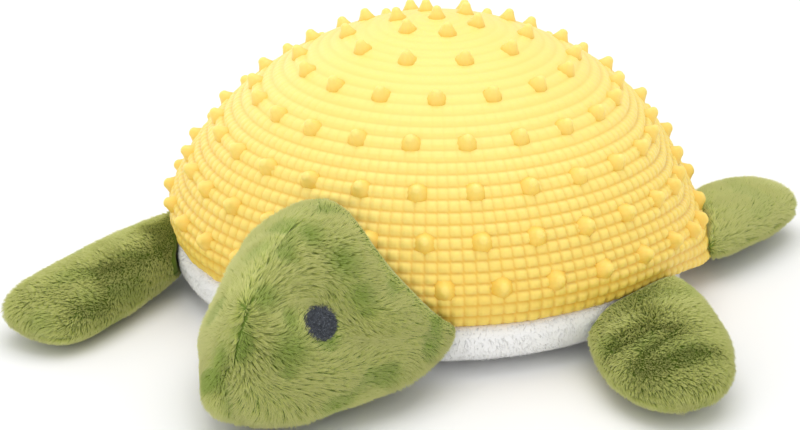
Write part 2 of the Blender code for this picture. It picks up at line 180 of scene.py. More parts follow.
# Pile: how much single strands differ, and how it parts
LEAN_JITTER = 0.07
LEAN_LIMITS = (0.05, 1.35)
SWIRL_JITTER = 0.08
LENGTH_JITTER = 0.10
WIDTH_JITTER = 0.15
GATHER_JITTER = 0.25
GATHER_LIMIT = 0.9
LOCK_REACH = 0.6
PARTING_DRIFT = (0.2, 1.2)
PARTED_SHORTER = 0.3
LOWEST_STRAND = 0.0001
# where the pile is shorter: distances, and the shares of its length there
FLOOR_TRIM = ((0.0015, 0.006), (0.4, 1))
BELLY_TRIM = ((0, 0.0025, 0.006), (0.2, 0.7, 1))
NECK_TRIM = ((0.001, 0.007), (0.3, 1))
EYE_TRIM = ((0.004, 0.0075), (0.5, 1))
ROOT_TRIM = ((0.073, 0.080), (0.5, 1))
# how a spot faces, and how far it is from the body, where the body doesn't press on it
FACING_OUT = -0.25
ROOM_MARGIN = 0.0012
BELLY_PILE = dict(
    width=0.0002, lean=1.25, unrest=0.1, swirl=1.0, swirl_size=0.008,
    strands_per_lock=7, gather=0.35, patchy=1, pressed=(),
)
EYE_PILE = dict(
    width=0.00024, lean=0.7, unrest=0.2, swirl=3.0, swirl_size=0.002,
    strands_per_lock=3, gather=0.1, patchy=1, pressed=(),
)
EYE_DENSITY = 14e6
# where the green pile is pressed and parted, with shorter strands and painted shade: x, y and z of each
# place, and its size
HEAD_PRESSED = (
    (0.0106, -0.0836, 0.036, 0.0055),
    (0.0161, -0.0857, 0.029, 0.0045),
    (0.0020, -0.0851, 0.0422, 0.0045),
    (-0.0055, -0.0941, 0.0376, 0.004),
    (0.0014, -0.1065, 0.0337, 0.0035),
    (0.0086, -0.1086, 0.0233, 0.005),
    (-0.0047, -0.1143, 0.0219, 0.0045),
    (0.0249, -0.0902, 0.012, 0.0035),
)
FLIPPER_PRESSED = (
    (0.0881, -0.0541, 0.0133, 0.009),
    (0.0755, -0.0274, 0.0135, 0.006),
    (-0.0700, -0.0935, 0.0098, 0.006),
    (-0.0622, -0.0797, 0.0109, 0.006),
    (-0.0577, -0.0649, 0.0099, 0.006),
)

# Colours that no setting holds; the first is the painted shade that the green is multiplied by where the
# pile parts
PARTED_PILE_SHADE = (0.58, 0.72, 0.46)
FIBRE = (0.85, 0.85, 0.83)
FIBRE_SHADOW = (0.6, 0.6, 0.58)
SEWING_THREAD = (0.88, 0.88, 0.86)
MILKY = (0.75, 0.77, 0.78)
WHITE = (1.0, 1.0, 1.0)
GREEN_SHEEN = 0.8

# Camera, fitted to the photograph, in its frame of 800 by 430 pixels
PHOTO_WIDTH = 800
PHOTO_HEIGHT = 430
TARGET_PIXEL = (436.7, 217.2)
CAMERA_AZIMUTH = math.radians(23)
CAMERA_ELEVATION = math.radians(22.27)
CAMERA_DISTANCE = 0.5545
CAMERA_LENS_MM = 88.77
SENSOR_MM = 36

# Light: the world's strength, and each lamp's name, place, size and power in watts
WORLD_LIGHT = 0.76
LAMPS = (
    ("top_softbox", (0.0, 0.10, 0.95), 1.0, 4.5),
    ("front_softbox", (-0.35, -1.10, 0.25), 0.9, 2.4),
    ("right_softbox", (0.9, -0.45, 0.45), 0.8, 0.9),
    ("left_softbox", (-0.8, 0.35, 0.35), 0.8, 1.2),
)
LAMP_TARGET = (0, 0, 0.03)
FLOOR_SIZE = 12
FLOOR_DROP = 0.0002


# Small tools


def deselect():
    if bpy.context.object and bpy.context.object.mode != "OBJECT":
        bpy.ops.object.mode_set(mode="OBJECT")
    bpy.ops.object.select_all(action="DESELECT")


def pick(obj):
    """Makes the object the only selected and active one."""
    deselect()
    obj.select_set(True)
    bpy.context.view_layer.objects.active = obj


def add_object(name, data):
    obj = bpy.data.objects.new(name, data)
    bpy.context.scene.collection.objects.link(obj)
    return obj


def vectors_of(items, key):
    values = np.empty(len(items) * 3)
    items.foreach_get(key, values)
    return values.reshape(-1, 3)


def points_of(mesh):
    return vectors_of(mesh.vertices, "co")


def put_points(mesh, points):
    mesh.vertices.foreach_set("co", np.asarray(points).ravel())
    mesh.update()


def radii_of(points):
    """How far each point is from the dome's axis."""
    return np.hypot(points[:, 0], points[:, 1])


def unit(vectors):
    return vectors / np.maximum(np.linalg.norm(vectors, axis=-1, keepdims=True), 1e-12)


def smooth_step(low, high, values):
    share = np.clip((values - low) / (high - low), 0, 1)
    return share * share * (3 - 2 * share)


def tree_of(points):
    tree = kdtree.KDTree(len(points))
    for index, point in enumerate(points):
        tree.insert(point, index)
    tree.balance()
    return tree


def drift(points, size, seed):
    """Smooth values, mostly from -1 to 1, that wander over a distance of about the size."""
    random = np.random.default_rng(seed)
    total = np.zeros(len(points))
    waves = 7
    for _ in range(waves):
        direction = unit(random.normal(size=3))
        wave_length = size * random.uniform(0.7, 1.5)
        total += np.sin(points @ direction * FULL_TURN / wave_length + random.uniform(0, FULL_TURN))
    return total / math.sqrt(waves)


def wrapped_grid(name, around, along, place, close_ends=False):
    """A grid rolled into a tube. place(u, v) gives its points: u runs once round, and v from 0 to 1."""
    deselect()
    bpy.ops.mesh.primitive_grid_add(x_subdivisions=around, y_subdivisions=along, size=2)
    obj = bpy.context.object
    obj.name = obj.data.name = name
    flat = (points_of(obj.data) + 1) / 2
    put_points(obj.data, place(np.round(flat[:, 0] * around) / around, np.round(flat[:, 1] * along) / along))
    bpy.ops.object.mode_set(mode="EDIT")
    bpy.ops.mesh.select_all(action="SELECT")
    bpy.ops.mesh.remove_doubles(threshold=MERGE)
    if close_ends:
        bpy.ops.mesh.fill_holes(sides=0)
        bpy.ops.mesh.select_all(action="SELECT")
    bpy.ops.mesh.normals_make_consistent(inside=False)
    bpy.ops.object.mode_set(mode="OBJECT")
    bpy.ops.object.shade_smooth()
    return obj


def spun(name, outline, around, close_ends=False):
    """Turns an outline of (radius, height) round Z."""
    outline = np.array(outline)
    last = len(outline) - 1

    def place(u, v):
        row = np.round(v * last).astype(int)
        angle = u * FULL_TURN
        radius = outline[row, 0]
        return np.stack([radius * np.cos(angle), radius * np.sin(angle), outline[row, 1]], 1)

    return wrapped_grid(name, around, last, place, close_ends)


def join(main, other):
    pick(main)
    other.select_set(True)
    bpy.ops.object.join()


def apply_modifier(obj, kind, **values):
    pick(obj)
    modifier = obj.modifiers.new(kind.lower(), kind)
    for key, value in values.items():
        setattr(modifier, key, value)
    bpy.ops.object.modifier_apply(modifier=modifier.name)


# Node materials


def shader_of(material):
    return material.node_tree.nodes["Principled BSDF"]


def new_finish(name, roughness, **sockets):
    material = bpy.data.materials.new(name)
    material.use_nodes = True
    inputs = shader_of(material).inputs
    inputs["Roughness"].default_value = roughness
    for key, value in sockets.items():
        inputs[key.replace("_", " ")].default_value = value
    return material


def add_node(material, kind, inputs=None, **values):
    node = material.node_tree.nodes.new(kind)
    for key, value in values.items():
        setattr(node, key, value)
    for key, value in (inputs or {}).items():
        if isinstance(value, bpy.types.NodeSocket):
            material.node_tree.links.new(value, node.inputs[key])
        else:
            node.inputs[key].default_value = value
    return node


def add_ramp(material, source, stops):
    ramp = add_node(material, "ShaderNodeValToRGB", {"Fac": source})
    elements = ramp.color_ramp.elements
    while len(elements) < len(stops):
        elements.new(1)
    for element, (position, colour) in zip(elements, stops):
        element.position = position
        element.color = (*colour, 1)
    return ramp.outputs["Color"]


def object_place(material):
    return add_node(material, "ShaderNodeTexCoord").outputs["Object"]


def object_noise(material, scale, detail):
    inputs = {"Vector": object_place(material), "Scale": scale, "Detail": detail}
    return add_node(material, "ShaderNodeTexNoise", inputs).outputs["Fac"]


def opaque(colour):
    return colour if isinstance(colour, bpy.types.NodeSocket) else (*colour, 1)


def blend_colours(material, share, first, second, mode="MIX"):
    # sockets 0, 6 and 7 take the share and the two colours, and socket 2 gives their mix
    inputs = {0: share, 6: opaque(first), 7: opaque(second)}
    return add_node(material, "ShaderNodeMix", inputs, data_type="RGBA", blend_type=mode).outputs[2]


def multiply(material, first, second):
    return blend_colours(material, 1.0, first, second, "MULTIPLY")


def set_colour(material, colour):
    material.node_tree.links.new(colour, shader_of(material).inputs["Base Color"])


def set_bump(material, height, strength, distance):
    inputs = {"Height": height, "Strength": strength, "Distance": distance}
    bump = add_node(material, "ShaderNodeBump", inputs).outputs["Normal"]
    material.node_tree.links.new(bump, shader_of(material).inputs["Normal"])


def dress(obj, material):
    obj.data.materials.clear()
    obj.data.materials.append(material)


def rubber_finish(settings):
    glow = {"Subsurface_Weight": 0.12, "Subsurface_Scale": 0.0015}
    material = new_finish("satin_rubber", 0.42, Specular_IOR_Level=0.42, **glow)
    shader_of(material).inputs["Subsurface Radius"].default_value = (1.0, 0.62, 0.12)
    relief = add_node(material, "ShaderNodeAttribute", attribute_name="relief").outputs["Fac"]
    pale = tuple(part * 0.98 for part in settings.colour)
    colour = blend_colours(material, object_noise(material, 22, 2), settings.colour, pale)
    # painted shade: the grooves between the pebbles and the feet of the nubs are painted a deeper ochre
    middle = tuple((a + 2 * b) / 3 for a, b in zip(settings.painted_groove_shade, settings.colour))
    stops = [(0.0, settings.painted_groove_shade), (0.45, middle), (1.0, settings.colour)]
    colour = blend_colours(material, 0.25, add_ramp(material, relief, stops), colour)
    # painted shade: the rubber is painted a darker, richer yellow towards the rim, where less of the top
    # light falls
    height = add_node(material, "ShaderNodeSeparateXYZ", {"Vector": object_place(material)}).outputs["Z"]
    limits = {"Value": height, "From Min": RIM_HEIGHT, "From Max": RIM_HEIGHT + DOME_HEIGHT}
    share = add_node(material, "ShaderNodeMapRange", limits).outputs["Result"]
    painted_low_shade = add_ramp(material, share, [(0.0, (0.96, 0.88, 0.62)), (0.6, WHITE)])
    set_colour(material, multiply(material, colour, painted_low_shade))
    set_bump(material, object_noise(material, 2600, 2), 0.12, 0.0002)
    return material


def pile_sockets(material):
    """How far along a strand a point is, the strand's own shade, and how full the pile is there."""
    pile = add_node(material, "ShaderNodeAttribute", attribute_name="pile")
    parts = add_node(material, "ShaderNodeSeparateColor", {"Color": pile.outputs["Color"]})
    return [parts.outputs[key] for key in ("Red", "Green", "Blue")]


def plush_finish(name, root, middle, tip, parted_shade, sheen):
    """A pile: its roots painted dark as painted shade deep in the pile and its tips pale as painted light,
    with each strand its own random shade, and painted shade where a lock's pile parts.
    """
    material = new_finish(name, 0.85, Sheen_Weight=sheen, Sheen_Roughness=0.35, Specular_IOR_Level=0.15)
    shader_of(material).inputs["Sheen Tint"].default_value = (*tip, 1)
    along, strand, full = pile_sockets(material)
    colour = add_ramp(material, along, [(0.0, root), (0.45, middle), (1.0, tip)])
    shade = add_ramp(material, strand, [(0.0, (0.90, 0.90, 0.88)), (1.0, WHITE)])
    painted_parting_shade = add_ramp(material, full, [(0.0, parted_shade), (0.8, WHITE)])
    set_colour(material, multiply(material, multiply(material, colour, shade), painted_parting_shade))
    return material


def green_finish(name, settings):
    return plush_finish(name, settings.root, settings.middle, settings.tip, PARTED_PILE_SHADE, GREEN_SHEEN)


def thread_finish():
    material = new_finish("charcoal_thread", 0.55, Sheen_Weight=0.3)
    strand = pile_sockets(material)[1]
    stops = [(0.0, (0.022, 0.028, 0.038)), (0.7, (0.045, 0.055, 0.07)), (1.0, (0.26, 0.29, 0.33))]
    set_colour(material, add_ramp(material, strand, stops))
    return material


def fibre_finish(name, colour, scale):
    """Loose fibre or sewing thread: fine noise in the colour and the relief."""
    material = new_finish(name, 0.95, Sheen_Weight=0.2)
    grain = object_noise(material, scale, 5)
    set_colour(material, add_ramp(material, grain, [(0.3, FIBRE_SHADOW), (0.7, colour)]))
    set_bump(material, grain, 0.6, 0.0008)
    return material


def plastic_finish(name, colour):
    material = new_finish(name, 0.35, Subsurface_Weight=0.15, Subsurface_Scale=0.002)
    shade = tuple(part * 0.9 for part in colour)
    cloud = object_noise(material, 160, 2)
    set_colour(material, add_ramp(material, cloud, [(0.2, shade), (0.8, colour)]))
    set_bump(material, object_noise(material, 900, 2), 0.08, 0.0002)
    return material


# Outlines shared by the pieces


def dome_point(angle):
    """Radius and height on the outside of the dome, by the angle from its crown."""
    power = 2 / DOME_POWER
    angle = np.asarray(angle, float)
    return DOME_RADIUS * np.sin(angle) ** power, RIM_HEIGHT + DOME_HEIGHT * np.cos(angle) ** power


def dome_outline(rows):
    """The smooth outside of the dome, by the pebble rows: 0 at the crown and PEBBLE_ROWS at the rim."""
    row_angle = NUB_RING_STEP / ROWS_PER_NUB_RING
    side_row = DOME_SIDE_ANGLE / row_angle
    rows = np.asarray(rows, float)
    radius, height = dome_point(np.minimum(rows, side_row) * row_angle)
    side_radius, side_height = dome_point(DOME_SIDE_ANGLE)
    share = np.maximum(rows - side_row, 0) / (PEBBLE_ROWS - side_row)
    return radius + (RIM_RADIUS - side_radius) * share ** 2, height + (RIM_HEIGHT - side_height) * share


def outline_normals(radius, height):
    run = unit(np.stack([np.gradient(radius), np.gradient(height)], 1))
    return np.stack([-run[:, 1], run[:, 0]], 1)


def belly_outline(rows):
    """The outside of the belly from the rim seam to the edge of its flat underside."""
    depth = RIM_HEIGHT - BELLY_TUCK + BELLY_FLAT_DEPTH
    flat_angle = math.asin(((depth - BELLY_FLAT_DEPTH) / depth) ** (BELLY_POWER / 2))
    angle = flat_angle * np.linspace(0, 1, rows)
    radius = BELLY_RADIUS * np.cos(angle) ** (2 / BELLY_POWER)
    height = RIM_HEIGHT - BELLY_TUCK - depth * np.sin(angle) ** (2 / BELLY_POWER)
    return radius, height


def sag_moves(points):
    """How far outwards and downwards each point goes where the soft rim sinks at the left rear."""
    angle = np.arctan2(points[:, 0], -points[:, 1])
    around = np.exp(-(((angle - SAG_ANGLE) / SAG_SPREAD) ** 2))
    around *= smooth_step(*SAG_RADII, radii_of(points))
    up = np.clip((points[:, 2] - RIM_HEIGHT) / (SAG_TOP - RIM_HEIGHT), 0, 1)
    below = np.clip(points[:, 2] / RIM_HEIGHT, 0, 1)
    out = SAG_OUT * (1 - up) ** 2 * (1 - SAG_DENT * up) * below
    down = SAG_DOWN * (1 - smooth_step(0, 1, up)) * below
    return around * out, around * down


def shifted(points, out, down):
    """The points, moved away from the dome's axis and down."""
    radius = np.maximum(radii_of(points), MERGE)
    moved = points.copy()
    moved[:, :2] *= (1 + out / radius)[:, None]
    moved[:, 2] -= down
    return moved


def sag(points):
    return shifted(points, *sag_moves(points))


# Pile


def scatter(mesh, density, seed, keep):
    """Random points on the mesh's faces, with their normals. keep(points, normals) picks those that stay."""
    mesh.calc_loop_triangles()
    corners = np.empty(len(mesh.loop_triangles) * 3, int)
    mesh.loop_triangles.foreach_get("vertices", corners)
    corners = corners.reshape(-1, 3)
    points = points_of(mesh)
    normals = vectors_of(mesh.vertex_normals, "vector")
    a, b, c = (points[corners[:, index]] for index in range(3))
    areas = np.linalg.norm(np.cross(b - a, c - a), axis=1) / 2
    random = np.random.default_rng(seed)
    count = int(areas.sum() * density)
    chosen = random.choice(len(areas), count, p=areas / areas.sum())
    first, second = random.random(count), random.random(count)
    flip = first + second > 1
    first[flip], second[flip] = 1 - first[flip], 1 - second[flip]
    weights = np.stack([1 - first - second, first, second], 1)
    chosen = corners[chosen]
    spots = np.einsum("nk,nkd->nd", weights, points[chosen])
    sides = unit(np.einsum("nk,nkd->nd", weights, normals[chosen]))
    stays = keep(spots, sides)
    return spots[stays], sides[stays]


def lay_pile(name, spots, sides, pile, comb, seed):
    """Strands on the spots, combed over and gathered into locks.

    comb(spots) gives the way that each strand lies, and its length as a share.
    """
    random = np.random.default_rng(seed)
    count = len(spots)
    size = pile["swirl_size"]
    flow, shorten = comb(spots)
    swirl = pile["swirl"] * (0.6 * drift(spots, size, seed + 1) + 0.5 * drift(spots, size * 2.6, seed + 2))
    lean = pile["lean"] * (1 + pile["unrest"] * drift(spots, size * 1.3, seed + 3))
    lean = np.clip(lean + random.normal(0, LEAN_JITTER, count), *LEAN_LIMITS)[:, None]
    tangent = unit(flow - sides * np.sum(flow * sides, 1, keepdims=True))
    across = np.cross(sides, tangent)
    swirl = (swirl + random.normal(0, SWIRL_JITTER, count))[:, None]
    tangent = tangent * np.cos(swirl) + across * np.sin(swirl)
    length = pile["length"] * (1 + random.normal(0, LENGTH_JITTER, count)) * shorten
    parting = smooth_step(*PARTING_DRIFT, drift(spots, size * 0.9, seed + 4))
    for *place, reach in pile["pressed"]:
        parting = np.maximum(parting, np.exp(-(((spots - place) ** 2).sum(1) / reach ** 2)))
    parting *= pile["patchy"]
    length *= 1 - PARTED_SHORTER * parting
    root = spots - sides * pile["width"]
    tip = spots + (sides * np.cos(lean) + tangent * np.sin(lean)) * length[:, None]

    # the tips of a lock draw together
    lock_count = max(1, int(count / pile["strands_per_lock"]))
    leaders = random.choice(count, lock_count, replace=False)
    tree = tree_of(spots[leaders])
    nearest = leaders[[tree.find(spot)[1] for spot in spots.tolist()]]
    pull = pile["gather"] * (1 + random.normal(0, GATHER_JITTER, count))
    pull = np.clip(pull, 0, GATHER_LIMIT)[:, None]
    near = np.linalg.norm(spots - spots[nearest], axis=1)[:, None] < pile["length"] * LOCK_REACH
    tip = tip + (tip[nearest] - tip) * pull * near

    # a three-sided strand has a ring at its root and a point
    axis = unit(tip - root)
    side = unit(np.cross(axis, sides) + 1e-9)
    up = np.cross(side, axis)
    width = pile["width"] * (1 + random.normal(0, WIDTH_JITTER, count))[:, None]
    corners = []
    for corner in range(3):
        angle = FULL_TURN * corner / 3 + math.pi / 2
        corners.append(root + (side * math.cos(angle) + up * math.sin(angle)) * width / 2)
    vertices = np.stack([*corners, tip], 1).reshape(-1, 3)
    pattern = np.array([(0, 2, 1), (0, 1, 3), (1, 2, 3), (2, 0, 3)])
    faces = (pattern[None] + 4 * np.arange(count)[:, None, None]).reshape(-1, 3)
    mesh = bpy.data.meshes.new(name)
    mesh.vertices.add(len(vertices))
    mesh.vertices.foreach_set("co", vertices.ravel())
    mesh.loops.add(faces.size)
    mesh.loops.foreach_set("vertex_index", faces.ravel())
    mesh.polygons.add(len(faces))
    mesh.polygons.foreach_set("loop_start", np.arange(0, faces.size, 3))
    mesh.update(calc_edges=True)
    mesh.shade_smooth()
    shades = np.ones((count, 4, 4))
    # the root corners take the root colour and the tip the tip colour: painted shade deep in the pile and
    # painted light at the tips
    shades[:, :3, 0] = 0
    shades[:, :, 1] = random.random(count)[:, None]
    # the parted places are marked, and the colour paints them darker: painted shade where the pile parts
    shades[:, :, 2] = 1 - parting[nearest][:, None]
    paint_pile(mesh, shades)
    return add_object(name, mesh)


def paint_pile(mesh, shades):
    """Keeps the values that pile_sockets reads: one row of four for all points, or one for each."""
    attribute = mesh.attributes.new("pile", "FLOAT_COLOR", "POINT")
    shades = np.asarray(shades, float).reshape(-1, 4)
    attribute.data.foreach_set("color", np.broadcast_to(shades, (len(mesh.vertices), 4)).ravel())


def lift_strands(mesh):
    """Presses what hangs below the floor up to it."""
    points = points_of(mesh)
    points[:, 2] = np.maximum(points[:, 2], LOWEST_STRAND)
    put_points(mesh, points)


def green_pile(settings, pressed, lean_share, unrest, patchy):
    pile = {key: getattr(settings, key) for key in ("length", "swirl_size", "strands_per_lock", "gather")}
    pile.update(width=settings.strand_width, lean=settings.lean * lean_share, swirl=settings.swirl * patchy)
    return dict(pile, unrest=unrest, patchy=patchy, pressed=pressed)


# Soft forms


def soft_form(name, sections, shoulders, widest_share, place, room, draw_in, settle=None):
    """A stuffed form: rings of eight points, rounded off, drawn in for the pile, and cut by the room."""
    upper_width, upper_height = shoulders
    lower_width, lower_height = ROUND_SHOULDERS
    rings = []
    for along, half_width, top, bottom in sections:
        middle = bottom + (top - bottom) * widest_share
        upper = middle + (top - middle) * upper_height
        lower = middle + (bottom - middle) * lower_height
        side, low_side = half_width * upper_width, half_width * lower_width
        outline = [(0, top), (side, upper), (half_width, middle), (low_side, lower)]
        outline += [(0, bottom), (-low_side, lower), (-half_width, middle), (-side, upper)]
        rings.append([(x, along, z) for x, z in outline])
    rings = np.array(rings)

    def ring_points(u, v):
        spot = np.round(u * 8).astype(int) % 8
        return rings[np.round(v * (len(rings) - 1)).astype(int), spot]

    form = wrapped_grid(name, 8, len(rings) - 1, ring_points, close_ends=True)
    apply_modifier(form, "SUBSURF", levels=3, render_levels=3)
    apply_modifier(form, "DISPLACE", mid_level=0, strength=-draw_in, direction="NORMAL")
    form.data.transform(place)
    if settle:
        put_points(form.data, settle(points_of(form.data)))
    heights, radii = room
    outline = [(0, heights[-1]), *zip(radii[::-1], heights[::-1]), (0, heights[0])]
    cutter = spun(name + "_room", outline, 180)
    put_points(cutter.data, sag(points_of(cutter.data)))
    apply_modifier(form, "BOOLEAN", object=cutter, operation="DIFFERENCE", solver="MANIFOLD")
    bpy.data.objects.remove(cutter)
    pick(form)
    bpy.ops.object.shade_smooth()
    return form


def clear_of_room(spots, sides, room):
    """Which spots lie on the outside of a form, and not where the body presses on it."""
    heights, radii = room
    radius = radii_of(spots)
    outwards = (spots[:, :2] * sides[:, :2]).sum(1) / radius
    return (outwards > FACING_OUT) | (radius > np.interp(spots[:, 2], heights, radii) + ROOM_MARGIN)


def dome_room(gap):
    """Heights and radii of the dome grown by a gap, from the rim up."""
    radius, height = dome_outline(np.linspace(0.1, PEBBLE_ROWS, 60))
    normals = outline_normals(radius, height)
    return (height + normals[:, 1] * gap)[::-1], (radius + normals[:, 0] * gap)[::-1]


def neck_room(gap):
    """The room that the head leaves free for the body, flared below the rim so that it can nod."""
    heights, radii = dome_room(NUB_ROOM + gap)
    above = heights > RIM_HEIGHT + NUB_ROOM + gap
    side = BELLY_RADIUS + SEAT_GAP + gap
    low_side = side + (RIM_HEIGHT - ROOM_BOTTOM) * math.tan(NECK_RELIEF)
    low = np.array([ROOM_BOTTOM, RIM_HEIGHT])
    return np.concatenate([low, heights[above]]), np.concatenate([[low_side, side], radii[above]])


def flipper_room(gap):
    """The room that a flipper's root leaves free: sewn in at the rim, and clear of the nubs above it."""
    heights, radii = dome_room(gap)
    nub_heights, nub_radii = dome_room(NUB_ROOM + gap)
    share = smooth_step(*NUB_ROOM_HEIGHTS, heights)
    radii = radii + share * (np.interp(heights, nub_heights, nub_radii) - radii)
    belly_radii, belly_heights = belly_outline(12)
    low_heights = np.concatenate([[ROOM_BOTTOM], belly_heights[::-1]])
    low_radii = np.concatenate([[BELLY_RADIUS], belly_radii[::-1]]) + gap
    above = heights > low_heights[-1] + 0.001
    return np.concatenate([low_heights, heights[above]]), np.concatenate([low_radii, radii[above]])


def cut_panel(form, name, planes):
    """A copy of the form, left open, without what each plane's normal points to."""
    mesh = form.data.copy()
    mesh.name = name
    bm = bmesh.new()
    bm.from_mesh(mesh)
    for point, normal in planes:
        everything = bm.verts[:] + bm.edges[:] + bm.faces[:]
        bmesh.ops.bisect_plane(bm, geom=everything, plane_co=point, plane_no=normal, clear_outer=True)
    bm.to_mesh(mesh)
    bm.free()
    return add_object(name, mesh)


def finish_panel(panel, node, settings, pile, comb, keep, material, seed):
    """Gives an open panel its thickness and its pile, and hides the node it stands for."""
    spots, sides = scatter(panel.data, settings.density, seed, keep)
    strands = lay_pile(panel.name + "_pile", spots, sides, pile, comb, seed + 10)
    apply_modifier(panel, "SOLIDIFY", thickness=settings.backing, offset=-1)
    pick(panel)
    bpy.ops.object.shade_smooth()
    # painted shade: the backing takes the dark root colour, darkened as where the pile parts, as the shade
    # under the pile
    paint_pile(panel.data, (0.0, 0.0, 0.0, 1.0))
    join(panel, strands)
    dress(panel, material)
    lift_strands(panel.data)
    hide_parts(node)


def finish_fill(fill, node):
    """Gives a fill its fibre, and hides the node it stands for."""
    dress(fill, fibre_finish(fill.name + "_fibre", FIBRE, 700))
    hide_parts(node)


def settle_head(points):
    """The stuffing is uneven: the left cheek is full at the neck, and the right one is full near its top."""
    x, y, z = points.T
    low = 1 - smooth_step(0.024, 0.044, z)
    high = smooth_step(0.024, 0.034, z) * (1 - smooth_step(0.044, 0.054, z))
    left, near_neck = smooth_step(0.008, 0.034, x), smooth_step(-0.104, -0.080, y)
    right, top_right = smooth_step(0.008, 0.030, -x), smooth_step(0.006, 0.018, -x)
    moved = points.copy()
    moved[:, 0] += LEFT_CHEEK_OUT * low * left * near_neck
    moved[:, 0] += RIGHT_CHEEK_IN * low * right
    moved[:, 0] -= RIGHT_TOP_OUT * high * top_right
    return moved


def head_form(name, settings, inwards):
    """The head without its pile, drawn inwards by a distance."""
    place = Matrix.Translation(JOINTS["head_nod"]["pos_m"]) @ Matrix.Rotation(math.pi, 4, "Z")
    place = place @ Matrix.Shear("XY", 4, (HEAD_LEAN, 0))
    floor = SEAT_GAP * 2 - RIM_HEIGHT
    sections = []
    for along, width, top, bottom in HEAD_SECTION_SHARES:
        low, high = floor + HEAD_HEIGHT * bottom, floor + HEAD_HEIGHT * top
        sections.append((HEAD_LENGTH * along, HEAD_HALF_WIDTH * width, high, low))
    room, draw_in = neck_room(inwards), settings.draw_in + inwards
    return soft_form(name, sections, HEAD_SHOULDERS, HEAD_WIDEST_SHARE, place, room, draw_in, settle_head)


def eye_place(form, node):
    """The point and normal of the head's backing under an eye."""
    centre = sum(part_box(node), Vector()) / 2
    centre += Vector(EYE_SHIFTS[node])
    _, point, normal, _ = form.closest_point_on_mesh(centre)
    return point, normal


# Settings


def length_setting(name, default, description):
    return FloatProperty(name=name, description=description, default=default, unit="LENGTH")


def angle_setting(name, default, description):
    return FloatProperty(name=name, description=description, default=default, subtype="ANGLE")


def colour_setting(name, default, description):
    return FloatVectorProperty(name=name, description=description, default=default, size=3, subtype="COLOR")


class DomeSettings(bpy.types.PropertyGroup):
    wall: length_setting("Wall", 0.0026, "Thickness of the rubber")
    pebble_height: length_setting("Pebble height", 0.0008, "How far a pebble stands out")
    nub_height: length_setting("Nub height", 0.0033, "How far a nub stands out")
    nub_radius: length_setting("Nub radius", 0.0022, "Radius of a nub at its foot")
    nub_tip_radius: length_setting("Nub tip", 0.00125, "Radius of a nub's round tip")
    colour: colour_setting("Colour", (0.99, 0.78, 0.215), "Rubber")
    # painted shade for the grooves and the nubs' feet
    painted_groove_shade: colour_setting("Deep colour", (0.90, 0.54, 0.06), "Grooves")


class PlushSettings(bpy.types.PropertyGroup):
    length: length_setting("Length", 0.0026, "Length of the pile")
    strand_width: length_setting("Strand width", 0.00022, "Width of a strand at its root")
    density: FloatProperty(name="Density", description="Strands in a square metre", default=1.6e7)
    lean: angle_setting("Lean", 1.05, "How far the pile lies over")
    swirl: angle_setting("Swirl", 1.0, "How far the lay wanders")
    swirl_size: length_setting("Swirl size", 0.014, "Size of a swirl")
    strands_per_lock: IntProperty(name="Lock", description="Strands that gather to one tip", default=12)
    gather: FloatProperty(name="Gather", description="How far a lock draws together", default=0.32)
    draw_in: length_setting("Draw in", 0.0018, "How deep the backing lies in the pile")
    seat_gap: length_setting("Seat gap", 0.0010, "How near a root comes to the dome")
    backing: length_setting("Backing", 0.0015, "Thickness of the knitted backing")
    # painted: the dark root colour stands for the shade deep in the pile, and the pale tip colour for the
    # light on the tips
    root: colour_setting("Root", (0.26, 0.33, 0.07), "Colour at the roots")
    middle: colour_setting("Middle", (0.70, 0.76, 0.21), "Colour halfway up")
    tip: colour_setting("Tip", (0.98, 0.98, 0.45), "Colour at the tips")


class BellySettings(bpy.types.PropertyGroup):
    length: length_setting("Length", 0.0010, "Length of the pile")
    density: FloatProperty(name="Density", description="Strands in a square metre", default=3.5e6)
    fabric: length_setting("Fabric", 0.0015, "Thickness of the fabric")
    colour: colour_setting("Colour", (0.97, 0.97, 0.97), "White plush")


class EyeSettings(bpy.types.PropertyGroup):
    width: length_setting("Width", 0.0086, "Width of an eye")
    height: length_setting("Height", 0.0088, "Height of an eye")
    rise: length_setting("Rise", 0.0005, "How far the mound stands out")
    thread: length_setting("Thread", 0.0009, "Length of its short threads")


# Pieces


